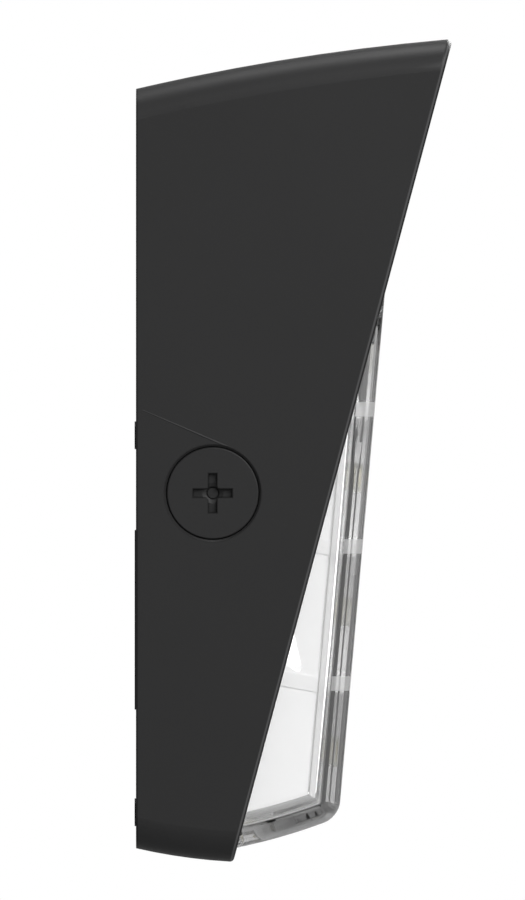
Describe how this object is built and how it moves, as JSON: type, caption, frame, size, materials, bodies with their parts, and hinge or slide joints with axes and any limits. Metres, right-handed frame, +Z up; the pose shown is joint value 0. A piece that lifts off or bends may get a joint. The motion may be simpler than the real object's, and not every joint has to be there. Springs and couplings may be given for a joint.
{
  "type": "wall pack light",
  "caption": "Outdoor wall light with a slanted cast housing hinged on a wall plate, a wedge-shaped clear lens, an LED lamp and driver inside, and plugged conduit entries.",
  "frame": {"origin": "centre of the wall fixing holes, on the wall's surface", "axes": "+Z up the wall, -Y out of the wall towards the viewer, +X to the right as seen from the front"},
  "size_m": [0.2102, 0.087, 0.2257],
  "materials": {
    "housing_paint": "fine-textured charcoal powder coat",
    "plug_paint": "smooth charcoal paint",
    "black_rubber": "matt",
    "grey_foam": "matt foam",
    "white_silicone": "matt",
    "clear_lens": "clear, moulded flutes",
    "white_reflector": "satin white",
    "board_white": "white solder mask",
    "board_green": "green solder mask",
    "led_phosphor": "yellow silicone",
    "galvanised": "mill finish sheet",
    "zinc_steel": "zinc plated",
    "black_plastic": "fine texture",
    "white_plastic": "satin",
    "orange_plastic": "satin",
    "green_screw": "green dip",
    "terminal_tin": "tinned",
    "wire_black": "smooth sleeve",
    "wire_white": "smooth sleeve",
    "wire_green": "smooth sleeve",
    "wire_red": "smooth sleeve",
    "copper_winding": "lacquered"
  },
  "bodies": {
    "root": {"back_plate": "housing_paint", "wall_gasket": "grey_foam", "wire_grommet": "black_rubber", "body_gasket": "grey_foam", "ground_screw": "green_screw", "ground_terminal": "terminal_tin", "ground_lead": "wire_green", "ground_connector": "orange_plastic"},
    "captive_screw_left_body": {"captive_screw_left": "zinc_steel", "screw_retainer_left": "white_plastic"},
    "captive_screw_right_body": {"captive_screw_right": "zinc_steel", "screw_retainer_right": "white_plastic"},
    "plug_left_body": {"conduit_plug_left": "plug_paint", "plug_seal_left": "black_rubber"},
    "plug_right_body": {"conduit_plug_right": "plug_paint", "plug_seal_right": "black_rubber"},
    "housing_body": {"housing": "housing_paint", "hinge_pins": "zinc_steel", "screw_seals": "black_rubber", "lens": "clear_lens", "lens_gasket": "white_silicone", "lens_clips": "zinc_steel", "lens_clip_screws": "zinc_steel", "gear_tray": "galvanised", "tray_screws": "zinc_steel", "thermal_pad": "grey_foam", "led_board": "board_white", "led_packages": "led_phosphor", "board_connector": "white_plastic", "board_screws": "zinc_steel", "reflector": "white_reflector", "driver_case": "black_plastic", "driver_lid": "black_plastic", "driver_board": "board_green", "driver_transformer": "copper_winding", "driver_capacitors": "black_plastic", "driver_screws": "zinc_steel", "line_lead": "wire_black", "neutral_lead": "wire_white", "wire_connectors": "orange_plastic", "led_lead_positive": "wire_red", "led_lead_negative": "wire_black"}
  },
  "joints": [
    {"name": "housing_swing", "type": "hinge", "parent": "root", "child": "housing_body", "pos_m": [0, -0.0093, 0.144], "axis": [-1, 0, 0], "range_deg": [0, 70]},
    {"name": "captive_screw_left_slide", "type": "slide", "parent": "housing_body", "child": "captive_screw_left_body", "axis": [0, -1, 0], "range_m": [0, 0.006]},
    {"name": "captive_screw_right_slide", "type": "slide", "parent": "housing_body", "child": "captive_screw_right_body", "axis": [0, -1, 0], "range_m": [0, 0.006]},
    {"name": "plug_left_slide", "type": "slide", "parent": "housing_body", "child": "plug_left_body", "axis": [-1, 0, 0], "range_m": [0, 0.009]},
    {"name": "plug_right_slide", "type": "slide", "parent": "housing_body", "child": "plug_right_body", "axis": [1, 0, 0], "range_m": [0, 0.009]}
  ]
}
